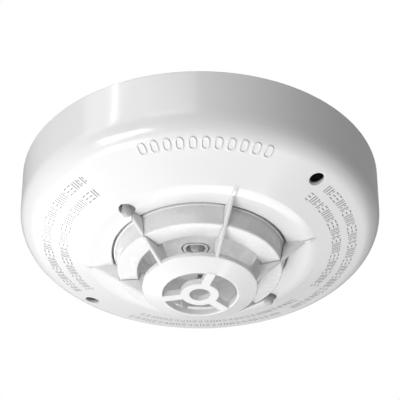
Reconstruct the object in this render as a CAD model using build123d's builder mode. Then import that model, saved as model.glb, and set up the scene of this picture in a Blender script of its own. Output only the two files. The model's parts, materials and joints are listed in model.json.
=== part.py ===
"""Ceiling heat detector: a bayonet base and a plug-in head, in millimetres.

The frame has +Z up and its origin at the centre of the ceiling face, so the detector hangs below z = 0.
Azimuths are degrees about +Z from +X. Profiles are drawn in the XZ plane as (radius, height) pairs.
"""

from build123d import *

import os
from math import cos, radians, sin, tan

# ---------------------------------------------------------------- driving dimensions
# outer cover
body_r = 50.0  # outside radius of the skirt
skirt_top_z = -0.1  # the skirt stops just short of the ceiling
skirt_inner_r = 47.6
shoulder_z = -12.5  # where the skirt starts to round into the face
shoulder_r = 6.9
face_slope = 19.5  # degrees, rising from the lip towards the shoulder
cover_wall = 2.2
lip_rounding = 9.0  # where the face turns into the level land round the opening
opening_r = 24.4  # edge of the central opening
opening_z = -24.25

# fins and guard disc, part of the cover
fin_azimuths = [-132.5 + 60 * k for k in range(6)]
fin_thickness = 1.15
fin_bend_r = 29.4  # where the low tail meets the straight lower edge
fin_bend_z = -24.6
fin_tail_r = 31.0
fin_tail_z = -24.35
fin_foot_r = 32.6  # where the tail runs out on the face
disc_r = 15.8
disc_edge_z = -35.45
window_r = 10.15
window_z = -37.57  # lower edge of the disc's window before it is rounded
window_depth = 1.9
hub_r = 5.2
hub_hole_r = 2.85
spoke_width = 2.5
spoke_azimuths = fin_azimuths[1::2]
fin_heel_r = 13.3  # the webs' inner edge, from the disc up into the housing
fin_heel_z = -33.2
fin_head_z = -28.4
fin_edge_rounding = 0.4  # along the lower edge, on both sides

# sensor housing, the stepped turret
turret_r = 23.8
turret_rim_z = -24.3
turret_wall_r = 23.45  # below the rim's narrow ledge
crest_r = 22.6
crest_z = -29.65
ring_inner_r = 17.2
ring_inner_z = -30.2
cavity_r = 16.3
cavity_z = -22.1
turret_wall = 1.25
web_clearance = 0.15  # between the fins' webs and the turret

# lamps and tool holes
lamp_azimuths = [-132.5, 47.5]
lamp_circle_r = 28.9
lamp_hole_r = 2.3
lamp_r = 1.4
lamp_tip_z = -26.6
tool_azimuths = [-43.25, 136.75]
tool_circle_r = 42.6
tool_hole_r = 2.0
tool_hole_wall = 0.9  # the cover is thinned from inside round these holes

# head: chassis, board and bayonet
twist_angle = 30.0
chassis_r = 47.3
chassis_top_z = -10.0
chassis_bottom_z = -12.0
collar_inner_r = 34.4
collar_outer_r = 36.0
lug_outer_r = 39.3
lug_top_z = -4.2
lug_bottom_z = -6.3
lug_span = 24.0
board_r = 34.5
board_top_z = -14.0
board_bottom_z = -15.6

# base
base_r = 46.8
base_plate_z = -2.4
rim_wall = 1.6
rim_bottom_z = -8.6
ledge_inner_r = 36.3
ledge_top_z = -6.4
entry_span = 28.0
cable_hole_r = 13.0
fixing_spacing = 55.0
fixing_slot_length = 9.5
fixing_slot_width = 4.5
coring_inner_r = 33.8
coring_outer_r = 38.6
coring_depth = 1.0
coring_ribs = 18
coring_rib_width = 1.6

# terminals in the base and the blades that slide against them
terminal_azimuths = [25.0 + 90 * k for k in range(4)]
terminal_r = 25.6
tower_bottom_z = -4.4
strip_thickness = 0.8
blade_inner_r = 30.2
blade_thickness = 0.8
blade_top_z = -6.0
blade_span = 12.0

# lock pins
pin_r = 1.5
pin_clearance = 0.05
pin_tip_z = -11.0
pin_shoulder_z = -7.0
guide_r = 2.9
guide_bottom_z = -8.2
spring_room_r = 2.2
spring_top_z = -1.2


# ---------------------------------------------------------------- helpers
def polar(radius, azimuth, z=0.0):
    """A point given by radius, azimuth and height."""
    return Vector(radius * cos(radians(azimuth)), radius * sin(radians(azimuth)), z)


def radial_plane(azimuth, z=0.0):
    """An upright plane through the axis: local x is the radius, local y is up."""
    outwards = polar(1, azimuth)
    return Plane(origin=(0, 0, z), x_dir=outwards, z_dir=outwards.cross(Vector(0, 0, 1)))


def level_plane(radius, azimuth, z):
    """A level plane on a pitch circle: local x points outwards."""
    return Plane(origin=polar(radius, azimuth, z), x_dir=polar(1, azimuth), z_dir=(0, 0, 1))


def sector(inner_r, outer_r, centre_azimuth, span):
    """A flat ring sector, ready to add to a sketch."""
    start = centre_azimuth - span / 2
    end = centre_azimuth + span / 2
    with BuildSketch() as ring_sector:
        with BuildLine():
            CenterArc((0, 0), outer_r, start, span)
            CenterArc((0, 0), inner_r, start, span)
            Line(polar(inner_r, start), polar(outer_r, start))
            Line(polar(inner_r, end), polar(outer_r, end))
        make_face()
    return ring_sector.sketch


def face_height(radius):
    """Height of the cover's conical face at a radius."""
    return shoulder_end.Y - (shoulder_end.X - radius) * tan(radians(face_slope))


def save(part, label):
    """Label a finished piece and write it as its own STEP file."""
    part.label = label
    export_step(part, f"parts/{label}.step")


os.makedirs("parts", exist_ok=True)
standing = (Align.CENTER, Align.CENTER, Align.MIN)
hanging = (Align.CENTER, Align.CENTER, Align.MAX)

# ---------------------------------------------------------------- outer cover
shoulder_turn = 90 - face_slope
shoulder_centre = Vector(body_r - shoulder_r, shoulder_z)
face_normal = Vector(cos(radians(shoulder_turn)), -sin(radians(shoulder_turn)))
shoulder_end = shoulder_centre + shoulder_r * face_normal
inner_shoulder_r = shoulder_r - cover_wall
inner_shoulder_end = shoulder_centre + inner_shoulder_r * face_normal
lip_r = shoulder_end.X - (shoulder_end.Y - opening_z) / tan(radians(face_slope))
land_z = -22.1  # flat inside face round the opening, which traps the sensor housing
land_r = inner_shoulder_end.X - (inner_shoulder_end.Y - land_z) / tan(radians(face_slope))
cover_screw_azimuths = [60.0, 180.0, 300.0]
cover_screw_r = 40.5
mark_inner_r = 42.3
mark_outer_r = 46.1
mark_height = 0.18
mark_count = 11
mark_pitch = 4.4
mark_middle = -88.2  # azimuth of the middle of the row
mark_width = 2.3
mark_stroke = 0.42
skin_r = shoulder_r + mark_height
root_r = shoulder_r - 0.4
skin_start = 40  # degrees below level, where the marked skin starts on the shoulder


def fin_plate(outer_end):
    """A fin from the face to the guard disc, drawn along +X. The points give the shape of its outer end."""
    lower_edge_length = (Vector(*outer_end[-1]) - Vector(disc_r, disc_edge_z)).length
    with BuildPart() as fin:
        with BuildSketch(Plane.XZ):
            with BuildLine():
                Polyline(
                    *outer_end,
                    (disc_r, disc_edge_z + 0.02),
                    (fin_heel_r, disc_edge_z - 0.3),
                    (fin_heel_r, fin_heel_z),
                    (cavity_r - 0.4, fin_head_z),
                    (ring_inner_r, fin_head_z),
                    (opening_r + 1.0, opening_z + 1.0),
                    close=True,
                )
            make_face()
        extrude(amount=fin_thickness / 2, both=True)
        lower_edges = fin.edges().filter_by(lambda edge: abs(edge.length - lower_edge_length) < 0.1)
        fillet(lower_edges, fin_edge_rounding)
    return fin.part


lamp_fin = fin_plate([(lamp_circle_r, opening_z + 0.5), (lamp_circle_r, fin_bend_z)])
plain_fin = fin_plate(
    [
        (fin_foot_r, face_height(fin_foot_r) + 0.5),
        (fin_foot_r, face_height(fin_foot_r)),
        (fin_tail_r, fin_tail_z),
        (fin_bend_r, fin_bend_z),
    ]
)

with BuildPart() as outer_cover:
    with BuildSketch(Plane.XZ):
        with BuildLine():
            Line((skirt_inner_r, skirt_top_z), (body_r, skirt_top_z))
            Line((body_r, skirt_top_z), (body_r, shoulder_z))
            CenterArc(shoulder_centre, shoulder_r, 0, -shoulder_turn)
            FilletPolyline(
                shoulder_end,
                (lip_r, opening_z),
                (opening_r, opening_z),
                (opening_r, land_z),
                radius=[lip_rounding, 0.35],
            )
            Line((opening_r, land_z), (land_r, land_z))
            Line((land_r, land_z), inner_shoulder_end)
            CenterArc(shoulder_centre, inner_shoulder_r, -shoulder_turn, shoulder_turn)
            Line(shoulder_centre + Vector(inner_shoulder_r, 0), (skirt_inner_r, skirt_top_z))
        make_face()
    revolve(axis=Axis.Z)

    # fins, those beside the lamps end in the lamps' holes
    for azimuth in fin_azimuths:
        add(lamp_fin if azimuth in lamp_azimuths else plain_fin, rotation=(0, 0, azimuth))

    # room for the sensor housing, so that the webs clear it
    with BuildSketch(Plane.XZ):
        with BuildLine():
            Polyline(
                (cavity_r - web_clearance, land_z),
                (turret_r + web_clearance, land_z),
                (turret_r + web_clearance, turret_rim_z - web_clearance),
                (turret_wall_r + web_clearance, turret_rim_z - web_clearance),
                (crest_r + web_clearance, crest_z - web_clearance),
                (ring_inner_r - web_clearance, ring_inner_z - web_clearance),
                close=True,
            )
        make_face()
    revolve(axis=Axis.Z, mode=Mode.SUBTRACT)

    # guard disc, its hub and spokes
    with BuildSketch(Plane.XZ):
        with BuildLine():
            FilletPolyline(
                (window_r, window_z + window_depth),
                (window_r, window_z),
                (disc_r, disc_edge_z),
                (disc_r, disc_edge_z + 1.2),
                radius=[0.35, 0.45],
            )
            Line((disc_r, disc_edge_z + 1.2), (window_r, window_z + window_depth))
        make_face()
    revolve(axis=Axis.Z)
    with BuildSketch(Plane.XY.offset(window_z + 0.1)):
        Circle(hub_r)
        for azimuth in spoke_azimuths:
            with Locations(polar((hub_r + window_r) / 2, azimuth)):
                Rectangle(window_r - hub_r + 1.0, spoke_width, rotation=azimuth)
    extrude(amount=window_depth - 0.1)
    with BuildSketch(Plane.XY.offset(window_z)):
        Circle(hub_hole_r)
    extrude(amount=window_depth + 0.5, mode=Mode.SUBTRACT)

    # bosses for the screws from the chassis
    for azimuth in cover_screw_azimuths:
        with BuildSketch(level_plane(cover_screw_r, azimuth, chassis_bottom_z)):
            Circle(3.1)
        extrude(amount=face_height(cover_screw_r) + 1.2 - chassis_bottom_z)
        with BuildSketch(level_plane(cover_screw_r, azimuth, chassis_bottom_z)):
            Circle(1.25)
        extrude(amount=-5.0, mode=Mode.SUBTRACT)

    # holes for the lamps and the unlocking tool
    for azimuth in lamp_azimuths:
        with BuildSketch(level_plane(lamp_circle_r, azimuth, -30.0)):
            Circle(lamp_hole_r)
        extrude(amount=10.0, mode=Mode.SUBTRACT)
    for azimuth in tool_azimuths:
        with BuildSketch(level_plane(tool_circle_r, azimuth, -25.0)):
            Circle(tool_hole_r)
        extrude(amount=12.0, mode=Mode.SUBTRACT)
        wall_top_z = face_height(tool_circle_r) + tool_hole_wall / cos(radians(face_slope))
        into_the_cover = polar(-face_normal.X, azimuth, -face_normal.Y)
        with BuildSketch(Plane(origin=polar(tool_circle_r, azimuth, wall_top_z), z_dir=into_the_cover)):
            Circle(tool_hole_r + 0.9)
        extrude(amount=4.0, mode=Mode.SUBTRACT)

# raised marks: a thin skin over the face and shoulder, kept only where the marks are
with BuildPart() as raised_marks:
    with BuildSketch(Plane.XZ):
        with BuildLine():
            skin = CenterArc(shoulder_centre, skin_r, -skin_start, skin_start - shoulder_turn)
            root = CenterArc(shoulder_centre, root_r, -skin_start, skin_start - shoulder_turn)
            inwards = 6.0 * Vector(-cos(radians(face_slope)), -sin(radians(face_slope)))
            Line(skin @ 0, root @ 0)
            Line(skin @ 1, skin @ 1 + inwards)
            Line(root @ 1, root @ 1 + inwards)
            Line(skin @ 1 + inwards, root @ 1 + inwards)
        make_face()
    revolve(axis=Axis.Z)
    with BuildSketch(Plane.XY.offset(-26)):
        for k in range(mark_count):
            azimuth = mark_middle + (k - (mark_count - 1) / 2) * mark_pitch
            height = mark_outer_r - mark_inner_r
            with Locations(polar((mark_inner_r + mark_outer_r) / 2, azimuth)):
                SlotOverall(height, mark_width, rotation=azimuth)
                SlotOverall(
                    height - 2 * mark_stroke,
                    mark_width - 2 * mark_stroke,
                    rotation=azimuth,
                    mode=Mode.SUBTRACT,
                )
    extrude(amount=14, mode=Mode.INTERSECT)

with outer_cover:
    add(raised_marks.part)

save(outer_cover.part, "outer_cover")

# ---------------------------------------------------------------- sensor housing
collar_centre = (-1.2, 0.0)
collar_length = 7.0
collar_width = 4.6
collar_gap = 0.5  # between the collar and the oval opening round it
weep_hole_centre = (0.0, 13.9)
post_azimuths = [70.0, 190.0, 310.0]
post_circle_r = 25.6

with BuildPart() as sensor_housing:
    with BuildSketch(Plane.XZ):
        with BuildLine():
            FilletPolyline(
                (27.0, land_z + turret_wall),
                (27.0, land_z),
                (turret_r, land_z),
                (turret_r, turret_rim_z),
                (turret_wall_r, turret_rim_z),
                (crest_r, crest_z),
                (ring_inner_r, ring_inner_z),
                (cavity_r, cavity_z),
                (0, cavity_z),
                radius=[0, 0, 0.15, 0.1, 0.5, 0.3, 0.8],
            )
            Polyline(
                (0, cavity_z),
                (0, cavity_z + turret_wall),
                (cavity_r + turret_wall, cavity_z + turret_wall),
                (ring_inner_r + turret_wall, ring_inner_z + turret_wall),
                (crest_r - turret_wall, crest_z + turret_wall),
                (turret_r - turret_wall, turret_rim_z),
                (turret_r - turret_wall, land_z + turret_wall),
                (27.0, land_z + turret_wall),
            )
        make_face()
    revolve(axis=Axis.Z)
    # posts that stand on the board
    for azimuth in post_azimuths:
        with BuildSketch(level_plane(post_circle_r, azimuth, land_z)):
            Circle(1.3)
        extrude(amount=board_bottom_z - land_z)
    # oval opening round the thermistor's collar, and a weep hole
    with BuildSketch(Plane.XY.offset(cavity_z)):
        with Locations(collar_centre):
            SlotOverall(collar_length + 2 * collar_gap, collar_width + 2 * collar_gap)
        with Locations(weep_hole_centre):
            Rectangle(1.25, 2.0)
    extrude(amount=turret_wall, mode=Mode.SUBTRACT)

save(sensor_housing.part, "sensor_housing")

# ---------------------------------------------------------------- sensing thermistor and its collar
thermistor_centre = (-1.1, 0.0)
lead_spacing = 1.2
bead_top_z = -19.4
bead_bottom_z = -23.05
bead_r = 1.75
bead_neck_r = 1.0
collar_tip_z = cavity_z - 0.15
collar_back_z = -18.4
collar_wall = 0.4
flange_z = cavity_z + turret_wall  # the collar's flange rests on the back of the housing's floor

with BuildPart() as thermistor_collar:
    with BuildSketch(Plane.XY.offset(collar_tip_z)):
        with Locations(collar_centre):
            SlotOverall(collar_length, collar_width)
    extrude(amount=collar_back_z - collar_tip_z)
    fillet(thermistor_collar.faces().sort_by(Axis.Z)[0].edges(), 0.15)
    with BuildSketch(Plane.XY.offset(flange_z)):
        with Locations(collar_centre):
            SlotOverall(collar_length + 3.0, collar_width + 3.0)
    extrude(amount=0.8)
    # open pocket for the bead, and holes for its leads
    with BuildSketch(Plane.XY.offset(collar_tip_z)):
        with Locations(collar_centre):
            SlotOverall(collar_length - 2 * collar_wall - 0.6, collar_width - 2 * collar_wall)
    extrude(amount=collar_back_z - 0.8 - collar_tip_z, mode=Mode.SUBTRACT)
    with BuildSketch(Plane.XY.offset(collar_back_z)):
        with Locations(
            (thermistor_centre[0] - lead_spacing / 2, 0),
            (thermistor_centre[0] + lead_spacing / 2, 0),
        ):
            Circle(0.4)
    extrude(amount=-1.0, mode=Mode.SUBTRACT)

save(thermistor_collar.part, "thermistor_collar")

with BuildPart() as sensing_thermistor:
    # drop-shaped bead: a ball with a tapered neck round the leads
    with BuildSketch(Plane.XZ):
        with Locations((0, bead_bottom_z + bead_r)):
            Circle(bead_r)
        with BuildLine():
            Polyline(
                (0, bead_top_z),
                (bead_neck_r, bead_top_z),
                (bead_r * cos(radians(20)), bead_bottom_z + bead_r + bead_r * sin(radians(20))),
                (0, bead_bottom_z + bead_r),
                close=True,
            )
        make_face()
        Rectangle(4 * bead_r, 80, align=(Align.MAX, Align.CENTER), mode=Mode.SUBTRACT)
    revolve(axis=Axis.Z)
    # leads up to the board
    with BuildSketch(Plane.XY.offset(bead_top_z - 1.0)):
        with Locations((-lead_spacing / 2, 0), (lead_spacing / 2, 0)):
            Circle(0.25)
    extrude(amount=board_bottom_z - bead_top_z + 1.0)

save(Pos(thermistor_centre[0], thermistor_centre[1], 0) * sensing_thermistor.part, "sensing_thermistor")

# ---------------------------------------------------------------- status lamps, spacers and leads
lamp_base_z = -20.4
lamp_flange_r = 1.65

with BuildPart() as status_lamps:
    for azimuth in lamp_azimuths:
        with BuildSketch(level_plane(lamp_circle_r, azimuth, lamp_base_z)):
            Circle(lamp_flange_r)
        extrude(amount=-0.8)
        with BuildSketch(level_plane(lamp_circle_r, azimuth, lamp_base_z)):
            Circle(lamp_r)
        extrude(amount=lamp_tip_z + lamp_r - lamp_base_z)
        with Locations(polar(lamp_circle_r, azimuth, lamp_tip_z + lamp_r)):
            Sphere(lamp_r)

save(status_lamps.part, "status_lamps")

with BuildPart() as lamp_spacers:
    for azimuth in lamp_azimuths:
        with BuildSketch(level_plane(lamp_circle_r, azimuth, lamp_base_z)):
            Circle(2.0)
            with Locations((-0.7, 0), (0.7, 0)):
                Circle(0.35, mode=Mode.SUBTRACT)
        extrude(amount=board_bottom_z - lamp_base_z)

save(lamp_spacers.part, "lamp_spacers")

with BuildPart() as lamp_leads:
    for azimuth in lamp_azimuths:
        with BuildSketch(level_plane(lamp_circle_r, azimuth, lamp_base_z)):
            with Locations((-0.7, 0), (0.7, 0)):
                Rectangle(0.45, 0.45)
        extrude(amount=board_bottom_z - lamp_base_z)

save(lamp_leads.part, "lamp_leads")

# ---------------------------------------------------------------- rear chassis
blade_slot_gap = 0.1
board_screw_r = 26.5
blade_foot_r = 24.0
blade_foot_thickness = 0.6

with BuildPart() as rear_chassis:
    with BuildSketch(Plane.XY.offset(chassis_bottom_z)):
        Circle(chassis_r)
    extrude(amount=chassis_top_z - chassis_bottom_z)
    # bayonet collar and its lugs
    with BuildSketch(Plane.XY.offset(chassis_top_z)):
        Circle(collar_outer_r)
        Circle(collar_inner_r, mode=Mode.SUBTRACT)
    extrude(amount=lug_top_z - chassis_top_z)
    for k in range(3):
        with BuildSketch(Plane.XY.offset(lug_bottom_z)):
            add(sector(collar_outer_r - 0.4, lug_outer_r, 120.0 * k + twist_angle, lug_span))
        extrude(amount=lug_top_z - lug_bottom_z)
    # feet that the board rests on
    for k in range(4):
        with BuildSketch(level_plane(31.0, 90.0 * k, board_top_z)):
            Circle(1.8)
        extrude(amount=chassis_bottom_z - board_top_z)
    for azimuth in terminal_azimuths:
        with BuildSketch(level_plane(board_screw_r, azimuth, board_top_z + blade_foot_thickness)):
            Circle(2.6)
        extrude(amount=chassis_bottom_z - board_top_z - blade_foot_thickness)
        with BuildSketch(level_plane(board_screw_r, azimuth, board_top_z)):
            Circle(1.0)
        extrude(amount=3.2, mode=Mode.SUBTRACT)
        with BuildSketch(Plane.XY.offset(chassis_bottom_z)):
            add(
                sector(
                    blade_inner_r - blade_slot_gap,
                    blade_inner_r + blade_thickness + blade_slot_gap,
                    azimuth,
                    blade_span + 0.6,
                )
            )
        extrude(amount=chassis_top_z - chassis_bottom_z, mode=Mode.SUBTRACT)
    # arc slots that the lock pins run in as the head is twisted
    for azimuth in tool_azimuths:
        with BuildSketch(Plane.XY.offset(chassis_bottom_z)):
            with BuildLine():
                track = CenterArc((0, 0), tool_circle_r, azimuth - 1.0, twist_angle + 2.0)
            SlotArc(track, 2 * pin_r + 0.7)
        extrude(amount=chassis_top_z - chassis_bottom_z, mode=Mode.SUBTRACT)
    # countersunk holes for the cover screws
    for azimuth in cover_screw_azimuths:
        with Locations(level_plane(cover_screw_r, azimuth, chassis_top_z)):
            CounterSinkHole(radius=1.6, counter_sink_radius=2.9, depth=2.0)

save(rear_chassis.part, "rear_chassis")

with BuildPart() as contact_blades:
    for azimuth in terminal_azimuths:
        with BuildSketch(Plane.XY.offset(board_top_z)):
            add(sector(blade_inner_r, blade_inner_r + blade_thickness, azimuth, blade_span))
        extrude(amount=blade_top_z - board_top_z)
        with BuildSketch(Plane.XY.offset(board_top_z)):
            add(sector(blade_foot_r, blade_inner_r + 0.3, azimuth, blade_span - 1.0))
            with Locations(polar(board_screw_r, azimuth)):
                Circle(1.4, mode=Mode.SUBTRACT)
        extrude(amount=blade_foot_thickness)

save(contact_blades.part, "contact_blades")

# ---------------------------------------------------------------- screws in the head
with BuildPart() as cover_screws:
    for azimuth in cover_screw_azimuths:
        with Locations(Location(polar(cover_screw_r, azimuth, chassis_top_z - 0.75))):
            Cone(1.25, 2.75, 1.5)
        with Locations(Location(polar(cover_screw_r, azimuth, chassis_top_z - 1.5))):
            Cylinder(1.25, 5.0, align=hanging)
        with Locations(Location(polar(cover_screw_r, azimuth, chassis_top_z))):
            Box(3.2, 0.6, 0.8, align=hanging, mode=Mode.SUBTRACT)
            Box(0.6, 3.2, 0.8, align=hanging, mode=Mode.SUBTRACT)

save(cover_screws.part, "cover_screws")

with BuildPart() as board_screws:
    for azimuth in terminal_azimuths:
        with Locations(Location(polar(board_screw_r, azimuth, board_bottom_z))):
            Cylinder(2.2, 1.5, align=hanging)
            Cylinder(1.0, 4.6, align=standing)
        with Locations(Location(polar(board_screw_r, azimuth, board_bottom_z - 1.5))):
            Box(2.6, 0.5, 0.7, align=standing, mode=Mode.SUBTRACT)
            Box(0.5, 2.6, 0.7, align=standing, mode=Mode.SUBTRACT)

save(board_screws.part, "board_screws")

# ---------------------------------------------------------------- circuit board and what it carries
with BuildPart() as circuit_board:
    with BuildSketch(Plane.XY.offset(board_bottom_z)):
        Circle(board_r)
        for azimuth in terminal_azimuths:
            with Locations(polar(board_screw_r, azimuth)):
                Circle(1.2, mode=Mode.SUBTRACT)
    extrude(amount=board_top_z - board_bottom_z)

save(circuit_board.part, "circuit_board")

chip_centre = (6.5, 6.0)
chip_length = 8.7
chip_width = 3.9
chip_pin_pitch = 1.27

with BuildPart() as controller_chip:
    with BuildSketch(Plane.XY.offset(board_bottom_z - 0.15)):
        with Locations(chip_centre):
            Rectangle(chip_length, chip_width)
    extrude(amount=-1.5)
    chamfer(controller_chip.faces().sort_by(Axis.Z)[0].edges(), 0.2)
    with Locations(Location((chip_centre[0] - 3.5, chip_centre[1] - 1.0, board_bottom_z - 1.65))):
        Cylinder(0.35, 0.1, align=standing, mode=Mode.SUBTRACT)

save(controller_chip.part, "controller_chip")

with BuildPart() as chip_pins:
    for side in (-1, 1):
        edge_y = chip_centre[1] + side * chip_width / 2
        with Locations(Location((chip_centre[0], edge_y, board_bottom_z))):
            with GridLocations(chip_pin_pitch, 0, 7, 1):
                Box(0.42, 2.2, 0.2, align=(Align.CENTER, Align.MIN if side > 0 else Align.MAX, Align.MAX))
                Box(0.42, 0.25, 0.9, align=(Align.CENTER, Align.MIN if side > 0 else Align.MAX, Align.MAX))

save(chip_pins.part, "chip_pins")

with BuildPart() as bridge_rectifier:
    with BuildSketch(Plane.XY.offset(board_bottom_z)):
        with Locations((-12.0, -7.0)):
            Rectangle(6.5, 5.0)
    extrude(amount=-2.4)
    chamfer(bridge_rectifier.faces().sort_by(Axis.Z)[0].edges(), 0.3)
    with Locations((-12.0, -7.0, board_bottom_z)):
        with GridLocations(3.8, 6.6, 2, 2):
            Box(1.2, 1.6, 0.35, align=hanging)

save(bridge_rectifier.part, "bridge_rectifier")

with BuildPart() as smoothing_capacitor:
    with Locations(Location((-9.0, 8.0, board_bottom_z - 0.3))):
        Cylinder(3.1, 3.6, align=hanging)
    fillet(smoothing_capacitor.faces().sort_by(Axis.Z)[0].edges(), 0.4)
    with Locations(Location((-9.0, 8.0, board_bottom_z))):
        Box(6.6, 6.6, 0.8, align=hanging)

save(smoothing_capacitor.part, "smoothing_capacitor")

with BuildPart() as chip_resistors:
    with Locations(Location((7.0, -8.0, board_bottom_z))):
        with GridLocations(3.2, 2.6, 4, 3):
            Box(2.0, 1.25, 0.5, align=hanging)

save(chip_resistors.part, "chip_resistors")

with BuildPart() as chip_capacitors:
    with Locations(Location((0.0, 12.5, board_bottom_z))):
        with GridLocations(3.4, 3.0, 3, 1):
            Box(2.0, 1.3, 1.0, align=hanging)

save(chip_capacitors.part, "chip_capacitors")

with BuildPart() as transistors:
    for centre in ((-3.5, -11.5), (-3.5, -7.0)):
        with Locations(Location((centre[0], centre[1], board_bottom_z - 0.1))):
            Box(2.9, 1.4, 1.1, align=hanging)
        with Locations(Location((centre[0], centre[1], board_bottom_z))):
            with Locations((-0.95, -0.95), (0.95, -0.95), (0, 0.95)):
                Box(0.42, 1.0, 0.25, align=hanging)

save(transistors.part, "transistors")

with BuildPart() as reference_thermistor:
    with Locations((13.5, 0, board_bottom_z - 2.6)):
        Sphere(1.1)
    with BuildSketch(Plane.XY.offset(board_bottom_z)):
        with Locations((12.9, 0), (14.1, 0)):
            Circle(0.2)
    extrude(amount=-2.4)

save(reference_thermistor.part, "reference_thermistor")

# ---------------------------------------------------------------- base plate
stop_span = 3.0
strip_width = 7.0
strip_inner_r = 21.5
tower_outer_r = 29.4
clamp_size = 6.4
clamp_thickness = 1.0
terminal_shank_r = 1.5
terminal_head_r = 2.9
terminal_head_height = 2.0
strip_bottom_z = tower_bottom_z - strip_thickness
clamp_bottom_z = strip_bottom_z - clamp_thickness

with BuildPart() as base_plate:
    with BuildSketch(Plane.XY.offset(base_plate_z)):
        Circle(base_r)
        Circle(cable_hole_r, mode=Mode.SUBTRACT)
    extrude(amount=-base_plate_z)
    with BuildSketch(Plane.XY.offset(rim_bottom_z)):
        Circle(base_r)
        Circle(base_r - rim_wall, mode=Mode.SUBTRACT)
    extrude(amount=base_plate_z - rim_bottom_z)
    # bayonet ledges, with an entry gap and stops beside each
    for k in range(3):
        ledge_span = 120 - entry_span
        ledge_centre = 120.0 * k + 60.0
        with BuildSketch(Plane.XY.offset(rim_bottom_z)):
            add(sector(ledge_inner_r, base_r - rim_wall / 2, ledge_centre, ledge_span))
        extrude(amount=ledge_top_z - rim_bottom_z)
        locked_edge = 120.0 * k + twist_angle + lug_span / 2 + 0.5
        released_edge = 120.0 * k - lug_span / 2 - 0.5
        with BuildSketch(Plane.XY.offset(rim_bottom_z)):
            add(sector(ledge_inner_r + 1.0, lug_outer_r + 1.5, locked_edge + stop_span / 2, stop_span))
            add(sector(ledge_inner_r + 1.0, lug_outer_r + 1.5, released_edge - stop_span / 2, stop_span))
        extrude(amount=base_plate_z - rim_bottom_z)
    # rib round the cable opening
    with BuildSketch(Plane.XY.offset(base_plate_z - 1.6)):
        Circle(cable_hole_r + 1.4)
        Circle(cable_hole_r, mode=Mode.SUBTRACT)
    extrude(amount=1.6)
    # towers for the terminals
    for azimuth in terminal_azimuths:
        with BuildSketch(Plane.XY.offset(tower_bottom_z)):
            with Locations(polar((strip_inner_r + tower_outer_r) / 2, azimuth)):
                Rectangle(tower_outer_r - strip_inner_r, strip_width + 2.0, rotation=azimuth)
        extrude(amount=base_plate_z - tower_bottom_z)
        with BuildSketch(level_plane(terminal_r, azimuth, tower_bottom_z)):
            Circle(terminal_shank_r)
        extrude(amount=3.6, mode=Mode.SUBTRACT)
    # guides for the lock pins, open to the ceiling side for their caps
    for azimuth in tool_azimuths:
        with BuildSketch(level_plane(tool_circle_r, azimuth, guide_bottom_z)):
            Circle(guide_r)
        extrude(amount=base_plate_z - guide_bottom_z)
        with BuildSketch(level_plane(tool_circle_r, azimuth, rim_bottom_z)):
            Circle(pin_r + pin_clearance)
        extrude(amount=-rim_bottom_z, mode=Mode.SUBTRACT)
        with BuildSketch(level_plane(tool_circle_r, azimuth, pin_shoulder_z)):
            Circle(spring_room_r)
        extrude(amount=-pin_shoulder_z, mode=Mode.SUBTRACT)
    # slots for the fixing screws
    with BuildSketch(Plane.XY.offset(base_plate_z)):
        with Locations((-fixing_spacing / 2, 0), (fixing_spacing / 2, 0)):
            SlotOverall(fixing_slot_length, fixing_slot_width)
        with Locations((0, -fixing_spacing / 2), (0, fixing_spacing / 2)):
            SlotOverall(fixing_slot_length, fixing_slot_width, rotation=90)
    extrude(amount=-base_plate_z, mode=Mode.SUBTRACT)

    # shallow coring in the ceiling face, split by radial ribs
    with BuildSketch(Plane.XY):
        Circle(coring_outer_r)
        Circle(coring_inner_r, mode=Mode.SUBTRACT)
        for k in range(coring_ribs):
            with Locations(polar((coring_inner_r + coring_outer_r) / 2, 360.0 * k / coring_ribs)):
                Rectangle(
                    coring_outer_r - coring_inner_r + 1.0,
                    coring_rib_width,
                    rotation=360.0 * k / coring_ribs,
                    mode=Mode.SUBTRACT,
                )
    extrude(amount=-coring_depth, mode=Mode.SUBTRACT)

save(base_plate.part, "base_plate")

# ---------------------------------------------------------------- terminals
leaf_inner_r = blade_inner_r + blade_thickness + 0.05
leaf_thickness = 0.5

with BuildPart() as terminal_strips:
    for azimuth in terminal_azimuths:
        with BuildSketch(Plane.XY.offset(strip_bottom_z)):
            with Locations(polar((strip_inner_r + leaf_inner_r + 0.2) / 2, azimuth)):
                Rectangle(leaf_inner_r + 0.2 - strip_inner_r, strip_width, rotation=azimuth)
            with Locations(polar(terminal_r, azimuth)):
                Circle(terminal_shank_r + 0.15, mode=Mode.SUBTRACT)
        extrude(amount=strip_thickness)
        # spring leaf that the blade slides against
        with BuildSketch(Plane.XY.offset(-8.6)):
            add(sector(leaf_inner_r, leaf_inner_r + leaf_thickness, azimuth, blade_span))
        extrude(amount=8.6 + strip_bottom_z + strip_thickness)

save(terminal_strips.part, "terminal_strips")

with BuildPart() as clamp_plates:
    for azimuth in terminal_azimuths:
        with BuildSketch(Plane.XY.offset(clamp_bottom_z)):
            with Locations(polar(terminal_r, azimuth)):
                RectangleRounded(clamp_size, clamp_size, 0.8, rotation=azimuth)
                Circle(terminal_shank_r + 0.15, mode=Mode.SUBTRACT)
        extrude(amount=clamp_thickness)

save(clamp_plates.part, "clamp_plates")

with BuildPart() as terminal_screws:
    for azimuth in terminal_azimuths:
        with Locations(Location(polar(terminal_r, azimuth, clamp_bottom_z))):
            Cylinder(terminal_head_r, terminal_head_height, align=hanging)
            Cylinder(terminal_shank_r, 5.2, align=standing)
        with Locations(Location(polar(terminal_r, azimuth, clamp_bottom_z - terminal_head_height))):
            Box(6.0, 0.7, 0.9, align=standing, mode=Mode.SUBTRACT)

save(terminal_screws.part, "terminal_screws")

# ---------------------------------------------------------------- lock pins, springs and caps
collar_height = 1.2
spring_wire_r = 0.18
spring_mean_r = 1.75
coil_turns = 5
guide_pin_r = 1.2
spring_low_z = pin_shoulder_z + collar_height

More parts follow.
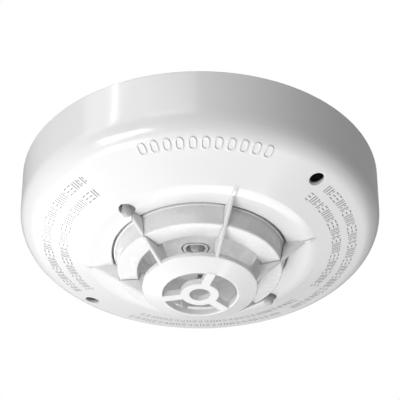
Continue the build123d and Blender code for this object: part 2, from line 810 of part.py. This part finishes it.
for name, azimuth in zip(("a", "b"), tool_azimuths):
    centre = polar(tool_circle_r, azimuth)
    with BuildPart() as lock_pin:
        with Locations((0, 0, pin_tip_z)):
            Cylinder(pin_r, pin_shoulder_z - pin_tip_z, align=standing)
        fillet(lock_pin.faces().sort_by(Axis.Z)[0].edges(), 0.5)
        with Locations((0, 0, pin_shoulder_z)):
            Cylinder(spring_room_r - pin_clearance, collar_height, align=standing)
            Cylinder(guide_pin_r, collar_height + 1.2, align=standing)
    save(Pos(centre.X, centre.Y, 0) * lock_pin.part, f"lock_pin_{name}")

    coil_bottom = spring_low_z + spring_wire_r + 0.02
    coil_height = spring_top_z - spring_wire_r - 0.02 - coil_bottom
    with BuildPart() as lock_spring:
        with BuildLine():
            coil = Helix(
                pitch=coil_height / coil_turns,
                height=coil_height,
                radius=spring_mean_r,
                center=(0, 0, coil_bottom),
            )
        with BuildSketch(Plane(origin=coil @ 0, z_dir=coil % 0)):
            Circle(spring_wire_r)
        sweep(is_frenet=True)
    save(Pos(centre.X, centre.Y, 0) * lock_spring.part, f"lock_spring_{name}")

with BuildPart() as spring_caps:
    for azimuth in tool_azimuths:
        with BuildSketch(level_plane(tool_circle_r, azimuth, spring_top_z)):
            Circle(spring_room_r)
        extrude(amount=-spring_top_z - 0.1)

save(spring_caps.part, "spring_caps")
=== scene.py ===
# A heat detector seen from below: materials for the CAD pieces, printed strokes, lamp cups, lights, camera.
# Lengths are in millimetres on the object, and in metres for the lights, the floor and the camera.
import json
from math import cos, pi, radians, sin, tan

import bmesh
import bpy
from mathutils import Matrix, Vector


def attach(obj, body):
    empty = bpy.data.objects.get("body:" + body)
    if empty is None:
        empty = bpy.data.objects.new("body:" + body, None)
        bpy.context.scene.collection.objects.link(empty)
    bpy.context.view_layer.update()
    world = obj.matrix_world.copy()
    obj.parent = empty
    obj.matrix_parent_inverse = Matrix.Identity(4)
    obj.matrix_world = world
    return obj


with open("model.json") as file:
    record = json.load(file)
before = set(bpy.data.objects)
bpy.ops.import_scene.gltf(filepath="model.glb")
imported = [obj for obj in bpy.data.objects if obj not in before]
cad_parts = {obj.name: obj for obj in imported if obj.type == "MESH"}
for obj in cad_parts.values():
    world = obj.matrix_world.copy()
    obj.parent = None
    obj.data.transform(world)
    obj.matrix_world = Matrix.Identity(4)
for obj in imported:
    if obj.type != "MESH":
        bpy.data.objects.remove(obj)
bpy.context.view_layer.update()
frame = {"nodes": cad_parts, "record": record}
MM = 0.001

# ---------------------------------------------------------------- sizes shared with the cover
BODY_R = 50.0
SHOULDER_Z = -12.5
SHOULDER_R = 6.9
FACE_SLOPE = 19.5
LAMP_AZIMUTHS = (-132.5, 47.5)
LAMP_CIRCLE_R = 28.9


def polar(radius, azimuth, z):
    """A point in metres from a radius and height in millimetres and an azimuth in degrees."""
    a = radians(azimuth)
    return Vector((radius * cos(a), radius * sin(a), z)) * MM


# ---------------------------------------------------------------- materials
# sockets of a mix node that is set to colours
MIX_FACTOR = 0
MIX_A = 6
MIX_B = 7
MIX_RESULT = 2


class Nodes:
    """A short way to build a material's node tree."""

    def __init__(self, name):
        self.material = bpy.data.materials.new(name)
        self.material.use_nodes = True
        self.tree = self.material.node_tree
        self.tree.nodes.clear()
        self.out = self.add("ShaderNodeOutputMaterial")
        self.coords = self.add("ShaderNodeTexCoord").outputs["Object"]

    def add(self, kind, **values):
        node = self.tree.nodes.new(kind)
        for key, value in values.items():
            if key in node.inputs:
                node.inputs[key].default_value = value
            else:
                setattr(node, key, value)
        return node

    def link(self, source, target):
        self.tree.links.new(source, target)

    def noise(self, scale, detail=3.0, roughness=0.5):
        node = self.add("ShaderNodeTexNoise", Scale=scale, Detail=detail, Roughness=roughness)
        self.link(self.coords, node.inputs["Vector"])
        return node.outputs["Fac"]

    def spread(self, value, low, high):
        """The value, mapped from the middle range of a noise to low..high."""
        return self.map_range(value, 0.3, 0.7, low, high)

    def map_range(self, value, from_low, from_high, low=0.0, high=1.0):
        limits = {"From Min": from_low, "From Max": from_high, "To Min": low, "To Max": high}
        node = self.add("ShaderNodeMapRange", **limits)
        self.link(value, node.inputs["Value"])
        return node.outputs["Result"]

    def mix_colour(self, factor, a, b):
        node = self.add("ShaderNodeMix", data_type="RGBA")
        self.link(factor, node.inputs[MIX_FACTOR])
        self.fill(node.inputs[MIX_A], a)
        self.fill(node.inputs[MIX_B], b)
        return node.outputs[MIX_RESULT]

    def fill(self, socket, value):
        """Links a socket, or sets it to a number or a colour."""
        if hasattr(value, "is_output"):
            self.link(value, socket)
        elif isinstance(value, tuple):
            socket.default_value = (*value, 1.0)
        else:
            socket.default_value = value

    def bump(self, height, distance, strength=1.0, normal=None):
        node = self.add("ShaderNodeBump", Strength=strength, Distance=distance)
        self.link(height, node.inputs["Height"])
        if normal is not None:
            self.link(normal, node.inputs["Normal"])
        return node.outputs["Normal"]

    def surface(self, **values):
        node = self.add("ShaderNodeBsdfPrincipled")
        for key, value in values.items():
            self.fill(node.inputs[key.replace("_", " ")], value)
        self.link(node.outputs["BSDF"], self.out.inputs["Surface"])
        return self.material


def scaled(colour, factor):
    return tuple(c * factor for c in colour)


def plastic(name, colour, rough, grain=2600.0, depth=0.012, soften=0.25, coat=0.0, painted_shade=0.2):
    """Moulded plastic: a faint orange peel, uneven gloss, soft edges, and painted shade that darkens the
    colour in corners and narrow gaps.
    """
    n = Nodes(name)
    bevel = n.add("ShaderNodeBevel", samples=6, Radius=soften * MM)
    peel = n.bump(n.noise(grain), depth * MM, 0.25, bevel.outputs["Normal"])
    flow = n.spread(n.noise(38.0, 4.0), 0.0, 1.0)
    shade = n.mix_colour(flow, colour, scaled(colour, 0.975))
    # painted shade: where ambient occlusion finds a deep corner or gap, the colour is darkened by the given
    # factor
    corner = n.add("ShaderNodeAmbientOcclusion", samples=12, Distance=2.2 * MM)
    unshaded = n.map_range(corner.outputs["AO"], 0.01, 0.12)
    base = n.mix_colour(unshaded, scaled(colour, painted_shade), shade)
    return n.surface(
        Base_Color=base,
        Roughness=n.spread(n.noise(420.0), rough - 0.035, rough + 0.035),
        Normal=peel,
        IOR=1.5,
        Coat_Weight=coat,
        Coat_Roughness=0.07,
    )


def metal(name, colour, rough, grain=(300.0, 300.0, 5000.0)):
    """Drawn or plated metal with fine directional lines and slight tarnish."""
    n = Nodes(name)
    stretch = n.add("ShaderNodeMapping")
    n.link(n.coords, stretch.inputs["Vector"])
    stretch.inputs["Scale"].default_value = grain
    lines = n.add("ShaderNodeTexNoise", Scale=1.0, Detail=2.0)
    n.link(stretch.outputs["Vector"], lines.inputs["Vector"])
    tarnish = n.spread(n.noise(500.0), 0.0, 1.0)
    return n.surface(
        Base_Color=n.mix_colour(tarnish, colour, scaled(colour, 0.78)),
        Metallic=1.0,
        Roughness=n.spread(lines.outputs["Fac"], rough - 0.08, rough + 0.1),
        Normal=n.bump(lines.outputs["Fac"], 0.006 * MM, 0.4),
    )


def clear_epoxy(name, tint, rough, clarity):
    """Cast epoxy. A clarity of 1 is water clear, and lower is milky."""
    n = Nodes(name)
    return n.surface(
        Base_Color=n.mix_colour(n.spread(n.noise(900.0), 0.0, 1.0), tint, scaled(tint, 0.9)),
        Transmission_Weight=clarity,
        IOR=1.5,
        Roughness=n.spread(n.noise(1500.0), rough, rough + 0.05),
        Normal=n.bump(n.noise(2400.0), 0.004 * MM, 0.2),
    )


def ink(name, colour):
    """Pad-printed ink, slightly broken where the pad lifted."""
    n = Nodes(name)
    worn = n.spread(n.noise(2200.0, 4.0), 0.0, 1.0)
    return n.surface(
        Base_Color=n.mix_colour(worn, colour, scaled(colour, 1.5)),
        Roughness=n.spread(n.noise(900.0), 0.42, 0.56),
        Normal=n.bump(n.noise(3000.0), 0.003 * MM, 0.3),
    )


def board(name):
    """Solder mask over tracks that show as a faint relief."""
    n = Nodes(name)
    tracks = n.add("ShaderNodeTexVoronoi", Scale=520.0, distance="CHEBYCHEV")
    n.link(n.coords, tracks.inputs["Vector"])
    relief = n.spread(tracks.outputs["Distance"], 0.0, 1.0)
    return n.surface(
        Base_Color=n.mix_colour(relief, (0.012, 0.085, 0.035), (0.02, 0.16, 0.07)),
        Roughness=n.spread(n.noise(700.0), 0.25, 0.4),
        Normal=n.bump(relief, 0.03 * MM, 0.5),
    )


materials = {
    "cover_plastic": plastic("cover_white", (0.90, 0.90, 0.90), 0.19, coat=0.3, soften=0.4, painted_shade=0.12),
    "housing_plastic": plastic("housing_white", (0.88, 0.88, 0.88), 0.26, coat=0.2, soften=0.2, painted_shade=0.12),
    "collar_plastic": plastic("collar_white", (0.84, 0.84, 0.84), 0.38, soften=0.12),
    "base_plastic": plastic("base_white", (0.76, 0.76, 0.755), 0.42, grain=3400.0, depth=0.02, soften=0.2),
    "pin_plastic": plastic("pin_grey", (0.55, 0.55, 0.54), 0.4, soften=0.1),
    "black_plastic": plastic("chip_black", (0.018, 0.018, 0.02), 0.5, grain=5200.0, depth=0.02, soften=0.08),
    "chip_ceramic": plastic("ceramic_tan", (0.36, 0.25, 0.15), 0.5, grain=5200.0, soften=0.08),
    "board_green": board("solder_mask"),
    "clear_lamp": clear_epoxy("lamp_epoxy", (0.72, 0.72, 0.73), 0.12, 0.2),
    "thermistor_bead": clear_epoxy("bead_epoxy", (0.74, 0.74, 0.75), 0.10, 0.4),
    "brass": metal("brass_strip", (0.62, 0.43, 0.18), 0.3),
    "plated_steel": metal("zinc_plate", (0.60, 0.60, 0.61), 0.3),
    "spring_steel": metal("spring_wire", (0.42, 0.42, 0.43), 0.28),
    "can_aluminium": metal("can_aluminium", (0.72, 0.72, 0.73), 0.3),
}
grey_ink = ink("print_grey", (0.20, 0.20, 0.21))

for row in frame["record"]["subparts"]:
    target = frame["nodes"][row["node"]]
    target.data.materials.clear()
    target.data.materials.append(materials[row["material_slot"]])


# ---------------------------------------------------------------- printed strokes on the cover
INK_FOOT = -0.02  # just under the plastic's surface
INK_TOP = 0.018
STROKE_END_STEPS = 6


def arc_angle(length, radius):
    """The angle in degrees of an arc of this length."""
    return length / radius * 180 / pi


def cover_point(radius, azimuth, lift):
    """A point on the cover's face or shoulder, moved by lift millimetres along the surface normal."""
    turn = radians(90.0 - FACE_SLOPE)
    centre_r = BODY_R - SHOULDER_R
    end_r = centre_r + SHOULDER_R * cos(turn)
    end_z = SHOULDER_Z - SHOULDER_R * sin(turn)
    if radius > end_r:
        drop = -((SHOULDER_R**2 - (radius - centre_r) ** 2) ** 0.5)
        normal = Vector((radius - centre_r, drop)) / SHOULDER_R
        point = Vector((radius, SHOULDER_Z + drop))
    else:
        normal = Vector((cos(turn), -sin(turn)))
        point = Vector((radius, end_z - (end_r - radius) * tan(radians(FACE_SLOPE))))
    point = point + normal * lift
    return polar(point.x, azimuth, point.y)


def stroke(mesh, radius, azimuth, length, width, along):
    """A thin closed slab of ink with rounded ends, along the cover's circle or else towards its axis."""
    outline = []
    for side in (1, -1):
        for k in range(STROKE_END_STEPS + 1):
            a = side * pi / 2 - pi * k / STROKE_END_STEPS
            outline.append((side * (length - width) / 2 + width / 2 * cos(a), width / 2 * sin(a)))
    rings = []
    for lift in (INK_FOOT, INK_TOP):
        ring = []
        for u, v in outline:
            round_by, out_by = (u, v) if along else (v, u)
            turned = azimuth + arc_angle(round_by, radius)
            ring.append(mesh.verts.new(cover_point(radius + out_by, turned, lift)))
        rings.append(ring)
    foot, top = rings
    for i in range(len(outline)):
        j = (i + 1) % len(outline)
        mesh.faces.new((foot[i], foot[j], top[j], top[i]))
    mesh.faces.new(top)
    mesh.faces.new(list(reversed(foot)))


def new_object(mesh, name, material):
    """Turns a bmesh into an object of the scene."""
    data = bpy.data.meshes.new(name)
    mesh.to_mesh(data)
    mesh.free()
    data.materials.append(material)
    made = bpy.data.objects.new(name, data)
    bpy.context.scene.collection.objects.link(made)
    return made


def finish_piece(mesh, name, material, body, smooth=False):
    """Turns a bmesh into a named piece that rides on a CAD body."""
    bmesh.ops.recalc_face_normals(mesh, faces=mesh.faces)
    piece = new_object(mesh, name, material)
    if smooth:
        for face in piece.data.polygons:
            face.use_smooth = True
    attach(piece, body)


# rows of plain marks: (radius, first azimuth, last azimuth, number of marks)
PRINT_ROWS = {
    "print_rows_left": ((42.4, -214.0, -137.0, 34), (37.7, -213.0, -138.0, 29)),
    "print_rows_right": ((42.2, -36.0, 50.0, 37), (37.7, -39.0, 30.0, 27)),
    "print_rows_far": ((42.4, 58.0, 118.0, 26), (37.9, 45.0, 116.0, 28)),
}
STROKE_WIDTH = 0.3
# each mark is a few strokes: (offset round the cover, offset outwards, length, runs round the cover)
MARKS = (
    ((-0.42, 0.0, 2.5, False), (0.42, 0.0, 2.5, False)),
    ((0.0, -1.1, 1.2, True), (0.0, 0.0, 1.2, True), (0.0, 1.1, 1.2, True)),
    ((-0.35, 0.0, 2.5, False), (0.35, 0.6, 0.7, False), (0.35, -0.6, 0.7, False)),
)

for name, rows in PRINT_ROWS.items():
    mesh = bmesh.new()
    for row_index, (radius, first, last, count) in enumerate(rows):
        for k in range(count):
            azimuth = first + (last - first) * k / (count - 1)
            mark = MARKS[(k * 2 + k // 3 + row_index) % len(MARKS)]
            for round_by, out_by, length, along in mark:
                r = radius + out_by
                stroke(mesh, r, azimuth + arc_angle(round_by, r), length, STROKE_WIDTH, along)
    finish_piece(mesh, name, grey_ink, "head")


# ---------------------------------------------------------------- inside the clear lamps
def ring_of_points(mesh, centre, radius, z, steps):
    """Points on a level circle. All lengths are in metres."""
    angles = [2 * pi * k / steps for k in range(steps)]
    return [mesh.verts.new(centre + Vector((radius * cos(a), radius * sin(a), z))) for a in angles]


def join_rings(mesh, a, b):
    for k in range(len(a)):
        j = (k + 1) % len(a)
        mesh.faces.new((a[k], a[j], b[j], b[k]))


# reflector cup: (radius, height) round its closed outline
CUP_OUTLINE = ((0.42, -23.8), (0.78, -24.6), (0.86, -24.6), (0.86, -22.3), (0.30, -22.3), (0.30, -23.8))
CUP_STEPS = 32

mesh = bmesh.new()
for azimuth in LAMP_AZIMUTHS:
    lamp_centre = polar(LAMP_CIRCLE_R, azimuth, 0.0)
    rings = [ring_of_points(mesh, lamp_centre, r * MM, z * MM, CUP_STEPS) for r, z in CUP_OUTLINE]
    for i, ring in enumerate(rings):
        join_rings(mesh, ring, rings[(i + 1) % len(rings)])
finish_piece(mesh, "lamp_cups", materials["plated_steel"], "head", smooth=True)


# ---------------------------------------------------------------- floor, light and camera
FLOOR_OUTLINE = ((0.02, -1.25), (1.5, -1.25), (3.0, -1.24), (4.2, -1.1))
FLOOR_STEPS = 64
FLOOR_GLOW = 0.35


def stage_floor():
    """A large pale floor far below, rising softly at its rim."""
    mesh = bmesh.new()
    axis = Vector((0.0, 0.0, 0.0))
    rings = [ring_of_points(mesh, axis, r, z, FLOOR_STEPS) for r, z in FLOOR_OUTLINE]
    for inner, outer in zip(rings, rings[1:]):
        join_rings(mesh, inner, outer)
    mesh.faces.new(rings[0])
    n = Nodes("floor_pale")
    shade = n.mix_colour(n.spread(n.noise(3.0), 0.0, 1.0), (0.86, 0.86, 0.86), (0.82, 0.82, 0.82))
    # most of the lights face away from the floor, so it glows a little where the camera sees it
    seen = n.add("ShaderNodeLightPath").outputs["Is Camera Ray"]
    glow = n.map_range(seen, 0.0, 1.0, 0.0, FLOOR_GLOW)
    look = {"Base_Color": shade, "Roughness": 0.8, "Emission_Color": shade, "Emission_Strength": glow}
    new_object(mesh, "floor", n.surface(**look))


def area_light(name, place, size, power, along=None):
    """A soft box that faces the object. Along is the direction of its first side, level if not given."""
    light = bpy.data.lights.new(name, "AREA")
    light.shape = "RECTANGLE"
    light.size, light.size_y = size
    light.energy = power
    holder = bpy.data.objects.new(name, light)
    bpy.context.scene.collection.objects.link(holder)
    holder.visible_camera = False
    back = Vector(place).normalized()
    side = Vector(along) if along else Vector((-place[1], place[0], 0.0))
    side = (side - back * side.dot(back)).normalized()
    turn = Matrix((side, back.cross(side), back)).transposed().to_4x4()
    holder.matrix_world = Matrix.Translation(place) @ turn


stage_floor()
area_light("soft_box_below", (-0.20, 0.10, -1.15), (1.3, 1.3), 2.67)
area_light("long_box_near", (-0.670, -0.562, -0.485), (0.50, 0.07), 1.35, (0.373, -0.236, -0.246))
area_light("wide_box_near", (-0.60, -0.52, -0.62), (0.50, 0.30), 2.40)
area_light("tall_strip", (-0.57, -0.406, 0.566), (0.035, 0.5), 0.45)
area_light("soft_box_above", (-0.63, -0.45, 0.50), (0.6, 0.6), 1.55)
area_light("soft_box_far_left", (-0.50, 0.65, -0.60), (0.4, 0.4), 2.91)
area_light("soft_box_far", (0.15, 0.60, -0.90), (0.5, 0.5), 2.35)
area_light("soft_box_near", (-0.30, -0.90, 0.45), (0.5, 0.5), 1.56)
area_light("soft_box_left", (-0.45, 0.02, -0.95), (0.3, 0.3), 1.73)

# strength of the room's own light on the object, by the height that a ray points to
UP_LIGHT = 0.30
DOWN_LIGHT = 0.0
HORIZON_BLEND = 0.15


def white_room():
    """Soft light from above and none from below. The camera itself sees plain white."""
    world = bpy.data.worlds.new("white_room")
    bpy.context.scene.world = world
    world.use_nodes = True
    tree = world.node_tree
    tree.nodes.clear()
    lit = tree.nodes.new("ShaderNodeBackground")
    direction = tree.nodes.new("ShaderNodeTexCoord")
    height = tree.nodes.new("ShaderNodeSeparateXYZ")
    level = tree.nodes.new("ShaderNodeMapRange")
    limits = {"From Min": -HORIZON_BLEND, "From Max": HORIZON_BLEND, "To Min": DOWN_LIGHT, "To Max": UP_LIGHT}
    for key, number in limits.items():
        level.inputs[key].default_value = number
    tree.links.new(direction.outputs["Generated"], height.inputs["Vector"])
    tree.links.new(height.outputs["Z"], level.inputs["Value"])
    tree.links.new(level.outputs["Result"], lit.inputs["Strength"])
    seen = tree.nodes.new("ShaderNodeBackground")
    seen.inputs["Strength"].default_value = 1.0
    for node in (lit, seen):
        node.inputs["Color"].default_value = (1.0, 1.0, 1.0, 1.0)
    path = tree.nodes.new("ShaderNodeLightPath")
    choose = tree.nodes.new("ShaderNodeMixShader")
    out = tree.nodes.new("ShaderNodeOutputWorld")
    tree.links.new(path.outputs["Is Camera Ray"], choose.inputs["Fac"])
    tree.links.new(lit.outputs[0], choose.inputs[1])
    tree.links.new(seen.outputs[0], choose.inputs[2])
    tree.links.new(choose.outputs[0], out.inputs["Surface"])


CAMERA_PITCH = 36.25  # degrees above level
CAMERA_BACK = 0.4618  # from the axis, on the near side
CAMERA_DOWN = 0.3441  # below the ceiling
CAMERA_LENS = 183.08  # millimetres, on a 36 mm sensor


def camera_below():
    """The camera stands in front and looks up at the object, with the near side at the picture's top."""
    data = bpy.data.cameras.new("camera")
    data.sensor_width = 36.0
    data.lens = CAMERA_LENS
    data.clip_start = 0.01
    camera = bpy.data.objects.new("camera", data)
    bpy.context.scene.collection.objects.link(camera)
    pitch = radians(CAMERA_PITCH)
    camera.matrix_world = Matrix(
        (
            (1.0, 0.0, 0.0, 0.0),
            (0.0, -sin(pitch), -cos(pitch), -CAMERA_BACK),
            (0.0, cos(pitch), -sin(pitch), -CAMERA_DOWN),
            (0.0, 0.0, 0.0, 1.0),
        )
    )
    bpy.context.scene.camera = camera


white_room()
camera_below()
bpy.context.scene.view_settings.view_transform = "Standard"
